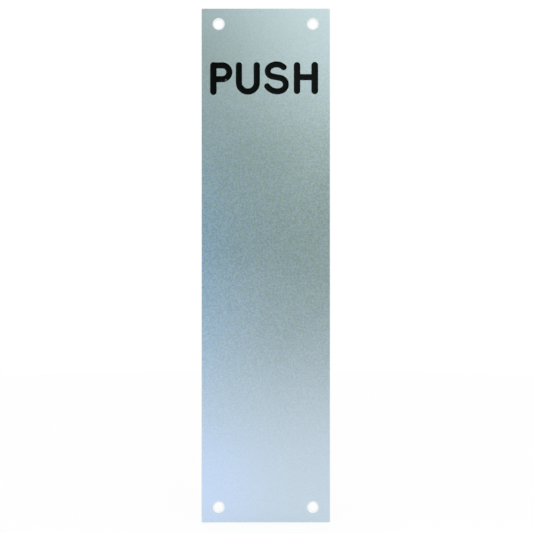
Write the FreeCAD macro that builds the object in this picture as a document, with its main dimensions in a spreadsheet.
"""Door finger plate: one rectangle of satin aluminium sheet, countersunk for a screw near each corner.

Millimetres, in the frame of a plate fixed to a door. +Z points up the door, +X to the right of someone
facing the plate, and the face that hands push looks towards -Y. The origin is the middle of the back
face, which lies flat on the door, so the sheet fills y from -plate_thickness to 0.
"""

import FreeCAD
import Part
import Sketcher
import os

NODE = "finger_plate"
SHEET_LABEL = "Sizes"

# The driving dimensions: alias, value in millimetres or degrees, and what it measures
SIZES = [
    ("plate_height", 300.0, "top edge to bottom edge"),
    ("plate_width", 75.0, "side edge to side edge"),
    ("plate_thickness", 1.5, "sheet, front face to back face"),
    ("corner_radius", 0.6, "outline corners, filed just blunt"),
    ("front_edge_radius", 0.2, "linished arris round the front face"),
    ("back_edge_chamfer", 0.1, "arris broken round the back face"),
    ("screw_side_inset", 10.0, "screw centres from the side edges"),
    ("screw_end_inset", 9.0, "screw centres from the top and bottom edges"),
    ("screw_hole_diameter", 5.0, "clearance hole for a 3.5 to 4 mm wood screw"),
    ("countersink_diameter", 7.0, "mouth of the countersink, the width of the screw's head"),
    ("countersink_angle", 90.0, "included angle of the countersink"),
]

# One screw near each corner of the plate
SCREWS = 4

# Two places count as the same within this many millimetres
SAME_PLACE = 1e-6


def write_sizes(doc):
    """Puts every driving dimension in a spreadsheet cell with its alias."""
    sheet = doc.addObject("Spreadsheet::Sheet", SHEET_LABEL)
    for row, (alias, value, meaning) in enumerate(SIZES, start=1):
        sheet.set(f"A{row}", alias)
        sheet.set(f"B{row}", str(value))
        sheet.set(f"C{row}", meaning)
        sheet.setAlias(f"B{row}", alias)
    doc.recompute()
    return sheet


def size_of(alias):
    """The expression that reads a driving dimension from the spreadsheet."""
    return f"{SHEET_LABEL}.{alias}"


def origin_plane(body, role):
    """One of the body's own origin planes, found by its role."""
    return next(feature for feature in body.Origin.OriginFeatures if feature.Role == role)


def door_plane_sketch(body, name):
    """An empty sketch on the door's plane. Its x is +X, its y is +Z and its normal is -Y."""
    sketch = body.newObject("Sketcher::SketchObject", name)
    sketch.AttachmentSupport = [(origin_plane(body, "XZ_Plane"), "")]
    sketch.MapMode = "FlatFace"
    return sketch


def add_centred_rectangle(sketch, width, height, construction=False):
    """Four lines about the sketch's origin, drawn at any size and then driven by two expressions."""
    half = 10.0
    corners = [(-half, -half), (half, -half), (half, half), (-half, half)]
    points = [FreeCAD.Vector(x, y, 0) for x, y in corners]
    lines = []
    for start, end in zip(points, points[1:] + points[:1]):
        lines.append(sketch.addGeometry(Part.LineSegment(start, end), construction))
    bottom, right, top, left = lines
    for line, following in zip(lines, lines[1:] + lines[:1]):
        sketch.addConstraint(Sketcher.Constraint("Coincident", line, 2, following, 1))
    for line in (bottom, top):
        sketch.addConstraint(Sketcher.Constraint("Horizontal", line))
    for line in (right, left):
        sketch.addConstraint(Sketcher.Constraint("Vertical", line))
    sketch.addConstraint(Sketcher.Constraint("Symmetric", bottom, 1, top, 1, -1, 1))
    across = sketch.addConstraint(Sketcher.Constraint("DistanceX", bottom, 1, bottom, 2, 2 * half))
    upward = sketch.addConstraint(Sketcher.Constraint("DistanceY", right, 1, right, 2, 2 * half))
    sketch.setExpression(f"Constraints[{across}]", width)
    sketch.setExpression(f"Constraints[{upward}]", height)
    return lines


def pad_sheet(doc, body):
    """The sheet itself: the plate's outline, padded forwards from the door's plane."""
    outline = door_plane_sketch(body, "plate_outline")
    add_centred_rectangle(outline, size_of("plate_width"), size_of("plate_height"))
    sheet_metal = body.newObject("PartDesign::Pad", "sheet_metal")
    sheet_metal.Profile = outline
    sheet_metal.setExpression("Length", size_of("plate_thickness"))
    doc.recompute()
    return sheet_metal


def blunt_corners(doc, body, base):
    """Rounds the four corners of the outline, the edges that run through the sheet."""
    through = [
        f"Edge{number}"
        for number, edge in enumerate(base.Shape.Edges, start=1)
        if abs(edge.BoundBox.YLength - edge.Length) < SAME_PLACE
    ]
    corners = body.newObject("PartDesign::Fillet", "blunt_corners")
    corners.Base = (base, through)
    corners.setExpression("Radius", size_of("corner_radius"))
    doc.recompute()
    return corners


def flat_face(shape, y):
    """The face of the sheet that lies at y."""
    return next(
        face
        for face in shape.Faces
        if face.BoundBox.YLength < SAME_PLACE and abs(face.BoundBox.YMax - y) < SAME_PLACE
    )


def rim_of_face(shape, y):
    """Names of the edges round the outside of the flat face that lies at y."""
    rim = flat_face(shape, y).OuterWire.Edges
    return [
        f"Edge{number}"
        for number, edge in enumerate(shape.Edges, start=1)
        if any(edge.isSame(other) for other in rim)
    ]


def soften_edges(doc, body, base):
    """A linished round on the front arris and a small chamfer on the back one."""
    front = body.newObject("PartDesign::Fillet", "front_arris")
    front.Base = (base, rim_of_face(base.Shape, base.Shape.BoundBox.YMin))
    front.setExpression("Radius", size_of("front_edge_radius"))
    doc.recompute()
    back = body.newObject("PartDesign::Chamfer", "back_arris")
    back.Base = (front, rim_of_face(front.Shape, front.Shape.BoundBox.YMax))
    back.setExpression("Size", size_of("back_edge_chamfer"))
    doc.recompute()
    return back


def drill_screw_holes(doc, body):
    """Four clearance holes, countersunk from the front face, at the corners of one rectangle."""
    centres = door_plane_sketch(body, "screw_centres")
    centres.setExpression("AttachmentOffset.Base.z", size_of("plate_thickness"))
    corners = add_centred_rectangle(
        centres,
        f"{size_of('plate_width')} - 2 * {size_of('screw_side_inset')}",
        f"{size_of('plate_height')} - 2 * {size_of('screw_end_inset')}",
        construction=True,
    )
    upright = FreeCAD.Vector(0, 0, 1)
    circles = []
    for line in corners:
        circle = centres.addGeometry(Part.Circle(FreeCAD.Vector(), upright, 1.0))
        centres.addConstraint(Sketcher.Constraint("Coincident", circle, 3, line, 1))
        circles.append(circle)
    for circle in circles[1:]:
        centres.addConstraint(Sketcher.Constraint("Equal", circles[0], circle))
    drilled = centres.addConstraint(Sketcher.Constraint("Diameter", circles[0], 2.0))
    centres.setExpression(f"Constraints[{drilled}]", size_of("screw_hole_diameter"))
    doc.recompute()

    holes = body.newObject("PartDesign::Hole", "screw_holes")
    holes.Profile = centres
    doc.recompute()
    holes.Threaded = False
    holes.DepthType = "ThroughAll"
    holes.HoleCutType = "Countersink"
    holes.setExpression("Diameter", size_of("screw_hole_diameter"))
    holes.setExpression("HoleCutDiameter", size_of("countersink_diameter"))
    holes.setExpression("HoleCutCountersinkAngle", size_of("countersink_angle"))
    doc.recompute()
    return holes


def check_document(doc, body):
    """Stops the build if a feature failed, the solid is faulty or a screw hole is missing."""
    for item in doc.Objects:
        if "Invalid" in item.State or "Error" in item.State:
            raise RuntimeError(f"{item.Name} did not build: {item.State}")
    shape = body.Shape
    if shape.isNull() or not shape.isValid() or len(shape.Solids) != 1:
        raise RuntimeError("the plate is not one valid solid")
    for side, y in (("front", shape.BoundBox.YMin), ("back", shape.BoundBox.YMax)):
        holes = len(flat_face(shape, y).Wires) - 1
        if holes != SCREWS:
            raise RuntimeError(f"the {side} face has {holes} screw holes")


def build():
    doc = FreeCAD.newDocument("DoorFingerPlate")
    write_sizes(doc)
    body = doc.addObject("PartDesign::Body", NODE)
    body.Label = NODE
    sheet_metal = pad_sheet(doc, body)
    cornered = blunt_corners(doc, body, sheet_metal)
    soften_edges(doc, body, cornered)
    drill_screw_holes(doc, body)
    check_document(doc, body)
    os.makedirs("parts", exist_ok=True)
    body.Shape.exportStep(os.path.join("parts", f"{NODE}.step"))
    box = body.Shape.optimalBoundingBox()
    size = f"{box.XLength:.2f} x {box.YLength:.2f} x {box.ZLength:.2f} mm"
    print(f"{NODE}: {size}, {body.Shape.Volume:.1f} mm3")


build()
